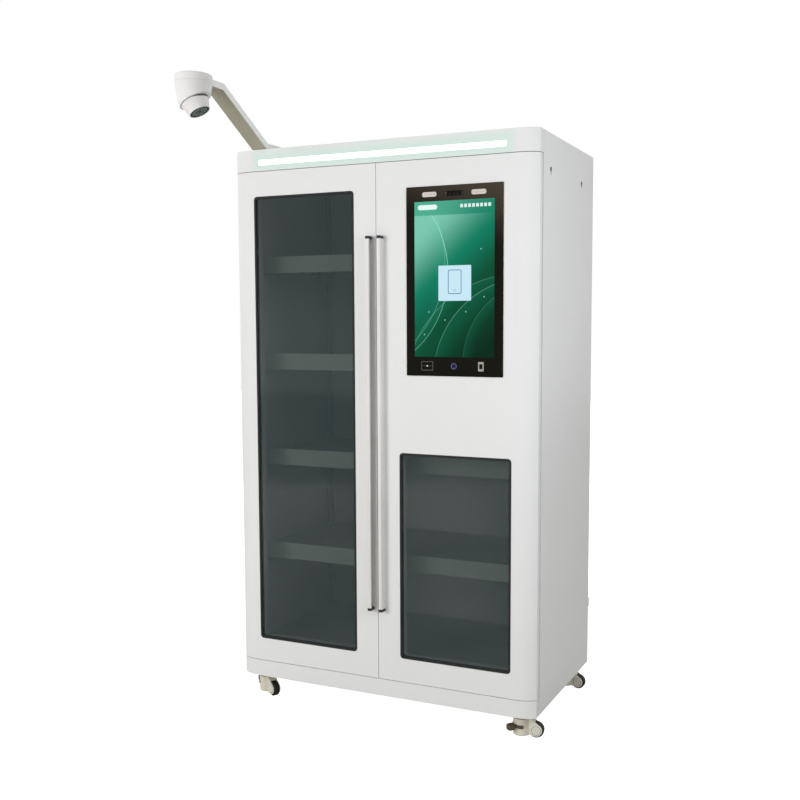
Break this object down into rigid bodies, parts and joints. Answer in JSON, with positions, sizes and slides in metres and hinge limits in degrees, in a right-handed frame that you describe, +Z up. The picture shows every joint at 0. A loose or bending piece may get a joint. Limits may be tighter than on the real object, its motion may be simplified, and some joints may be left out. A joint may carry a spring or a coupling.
{
  "type": "gauge storage cabinet",
  "caption": "Two-door sheet-steel gauge storage cabinet with smoked windows, a touch terminal in one door, a status light, a camera on an arm and levelling casters.",
  "frame": {"origin": "on the floor under the middle of the whole cabinet with its camera", "axes": "+Z up, -Y out of the doors, +X to the right as seen from the front"},
  "size_m": [1.0902, 1.004, 2.045],
  "materials": {
    "white_steel": "fine matt powder coat",
    "inner_steel": "matt powder coat",
    "smoked_glass": "smoked, polished",
    "black_rubber": "matt",
    "grip_aluminium": "satin anodised",
    "black_plastic": "matt",
    "display_panel": "gloss",
    "bezel_glass": "gloss",
    "light_cover": "frosted, lit",
    "lamp_cover": "frosted",
    "camera_shell": "satin",
    "lens_window": "polished, dark",
    "lock_steel": "zinc plated",
    "caster_shell": "satin",
    "caster_plate": "zinc plated",
    "wheel_hub": "satin",
    "tyre_black": "matt",
    "lever_plastic": "matt"
  },
  "bodies": {
    "cabinet": {"left_side_panel": "white_steel", "right_side_panel": "white_steel", "back_panel": "white_steel", "roof_panel": "white_steel", "chassis_tray": "inner_steel", "top_band": "white_steel", "bottom_band": "white_steel", "status_light_cover": "light_cover", "floor_shelf": "inner_steel", "shelf_1": "inner_steel", "shelf_2": "inner_steel", "shelf_3": "inner_steel", "shelf_4": "inner_steel", "shelf_uprights": "inner_steel", "shelf_brackets": "black_plastic", "door_pivots": "lock_steel", "lock_housing": "lock_steel", "power_inlet": "black_plastic", "camera_arm": "white_steel", "camera_cap": "camera_shell", "caster_plates": "caster_plate"},
    "left_door": {"left_door": "white_steel", "left_door_gasket": "black_rubber", "left_door_glass": "smoked_glass", "left_grip": "grip_aluminium", "left_grip_caps": "black_plastic"},
    "right_door": {"right_door": "white_steel", "right_door_gasket": "black_rubber", "right_door_glass": "smoked_glass", "right_grip": "grip_aluminium", "right_grip_caps": "black_plastic", "terminal_glass": "bezel_glass", "terminal_display": "display_panel", "terminal_housing": "black_plastic", "terminal_lamps": "lamp_cover", "terminal_windows": "black_plastic"},
    "lock_bolts": {"lock_bolts": "lock_steel"},
    "camera_turret": {"camera_turret": "camera_shell"},
    "camera_eye": {"camera_eyeball": "camera_shell", "camera_lens": "lens_window"},
    "front_left_caster": {"front_left_caster": "caster_shell"},
    "front_left_wheel": {"front_left_tyre": "tyre_black", "front_left_hub": "wheel_hub"},
    "front_left_foot": {"front_left_foot": "caster_plate"},
    "front_left_lever": {"front_left_lever": "lever_plastic"},
    "front_right_caster": {"front_right_caster": "caster_shell"},
    "front_right_wheel": {"front_right_tyre": "tyre_black", "front_right_hub": "wheel_hub"},
    "front_right_foot": {"front_right_foot": "caster_plate"},
    "front_right_lever": {"front_right_lever": "lever_plastic"},
    "rear_left_caster": {"rear_left_caster": "caster_shell"},
    "rear_left_wheel": {"rear_left_tyre": "tyre_black", "rear_left_hub": "wheel_hub"},
    "rear_left_foot": {"rear_left_foot": "caster_plate"},
    "rear_left_lever": {"rear_left_lever": "lever_plastic"},
    "rear_right_caster": {"rear_right_caster": "caster_shell"},
    "rear_right_wheel": {"rear_right_tyre": "tyre_black", "rear_right_hub": "wheel_hub"},
    "rear_right_foot": {"rear_right_foot": "caster_plate"},
    "rear_right_lever": {"rear_right_lever": "lever_plastic"}
  },
  "joints": [
    {"name": "left_door_hinge", "type": "hinge", "parent": "cabinet", "child": "left_door", "pos_m": [-0.528, -0.071, 0.9728], "axis": [0, 0, -1], "range_deg": [0, 95]},
    {"name": "right_door_hinge", "type": "hinge", "parent": "cabinet", "child": "right_door", "pos_m": [0.528, -0.071, 0.9728], "axis": [0, 0, 1], "range_deg": [0, 95]},
    {"name": "lock_bolt_slide", "type": "slide", "parent": "cabinet", "child": "lock_bolts", "axis": [0, 0, -1], "range_m": [0, 0.012], "stiffness_N_per_m": 200, "springref_m": -0.012},
    {"name": "camera_pan", "type": "hinge", "parent": "cabinet", "child": "camera_turret", "pos_m": [-0.437, -0.446, 1.972], "axis": [0, 0, 1], "range_deg": [-170, 170]},
    {"name": "camera_tilt", "type": "hinge", "parent": "camera_turret", "child": "camera_eye", "pos_m": [-0.437, -0.446, 1.972], "axis": [-0.1857, 0.9826, 0], "range_deg": [-15, 15]},
    {"name": "front_left_swivel", "type": "hinge", "parent": "cabinet", "child": "front_left_caster", "pos_m": [-0.478, -0.048, 0.06], "axis": [0, 0, 1], "continuous": true},
    {"name": "front_left_roll", "type": "hinge", "parent": "front_left_caster", "child": "front_left_wheel", "pos_m": [-0.4365, -0.07007, 0.025], "axis": [0.4695, 0.8829, 0], "continuous": true},
    {"name": "front_left_foot_screw", "type": "slide", "parent": "front_left_caster", "child": "front_left_foot", "axis": [0, 0, -1], "range_m": [0, 0.012]},
    {"name": "front_left_lever_swing", "type": "hinge", "parent": "front_left_caster", "child": "front_left_lever", "pos_m": [-0.478, -0.048, 0.038], "axis": [0, 0, 1], "range_deg": [-15, 75]},
    {"name": "front_right_swivel", "type": "hinge", "parent": "cabinet", "child": "front_right_caster", "pos_m": [0.478, -0.048, 0.06], "axis": [0, 0, 1], "continuous": true},
    {"name": "front_right_roll", "type": "hinge", "parent": "front_right_caster", "child": "front_right_wheel", "pos_m": [0.52397, -0.03823, 0.025], "axis": [-0.2079, 0.9781, 0], "continuous": true},
    {"name": "front_right_foot_screw", "type": "slide", "parent": "front_right_caster", "child": "front_right_foot", "axis": [0, 0, -1], "range_m": [0, 0.012]},
    {"name": "front_right_lever_swing", "type": "hinge", "parent": "front_right_caster", "child": "front_right_lever", "pos_m": [0.478, -0.048, 0.038], "axis": [0, 0, 1], "range_deg": [-58, 32]},
    {"name": "rear_left_swivel", "type": "hinge", "parent": "cabinet", "child": "rear_left_caster", "pos_m": [-0.478, 0.43, 0.06], "axis": [0, 0, 1], "continuous": true},
    {"name": "rear_left_roll", "type": "hinge", "parent": "rear_left_caster", "child": "rear_left_wheel", "pos_m": [-0.4326, 0.44216, 0.025], "axis": [-0.2588, 0.9659, 0], "continuous": true},
    {"name": "rear_left_foot_screw", "type": "slide", "parent": "rear_left_caster", "child": "rear_left_foot", "axis": [0, 0, -1], "range_m": [0, 0.012]},
    {"name": "rear_left_lever_swing", "type": "hinge", "parent": "rear_left_caster", "child": "rear_left_lever", "pos_m": [-0.478, 0.43, 0.038], "axis": [0, 0, 1], "range_deg": [-58, 32]},
    {"name": "rear_right_swivel", "type": "hinge", "parent": "cabinet", "child": "rear_right_caster", "pos_m": [0.478, 0.43, 0.06], "axis": [0, 0, 1], "continuous": true},
    {"name": "rear_right_roll", "type": "hinge", "parent": "rear_right_caster", "child": "rear_right_wheel", "pos_m": [0.52494, 0.42754, 0.025], "axis": [0.0523, 0.9986, 0], "continuous": true},
    {"name": "rear_right_foot_screw", "type": "slide", "parent": "rear_right_caster", "child": "rear_right_foot", "axis": [0, 0, -1], "range_m": [0, 0.012]},
    {"name": "rear_right_lever_swing", "type": "hinge", "parent": "rear_right_caster", "child": "rear_right_lever", "pos_m": [0.478, 0.43, 0.038], "axis": [0, 0, 1], "range_deg": [-35, 55]}
  ]
}
